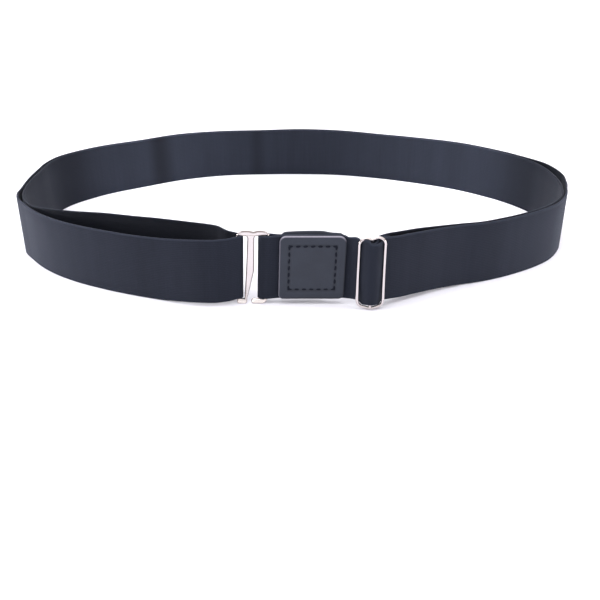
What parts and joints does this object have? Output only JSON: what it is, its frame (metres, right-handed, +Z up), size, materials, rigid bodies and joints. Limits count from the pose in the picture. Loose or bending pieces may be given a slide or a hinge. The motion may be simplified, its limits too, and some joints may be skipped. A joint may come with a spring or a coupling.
{
  "type": "shirt stay belt",
  "caption": "Elastic waist strap in a doubled loop, closed at the front by a metal hook clasp, with a metal slider and a stitched leather patch, that holds a tucked shirt down.",
  "frame": {"origin": "middle of the loop's footprint, on the surface that its lower edge stands on", "axes": "+X across the loop from the hook clasp towards the slider, +Y from the clasp at the front to the back of the loop, +Z up across the strap's width"},
  "size_m": [0.2892, 0.2068, 0.034],
  "materials": {
    "elastic": "matte ribbed elastic webbing",
    "leather": "smooth satin leather with stitching",
    "nickel": "bright nickel plate"
  },
  "bodies": {
    "root": {"elastic_strap": "elastic", "hook_clasp": "nickel", "slider": "nickel", "patch_front": "leather", "patch_back": "leather"}
  },
  "joints": []
}
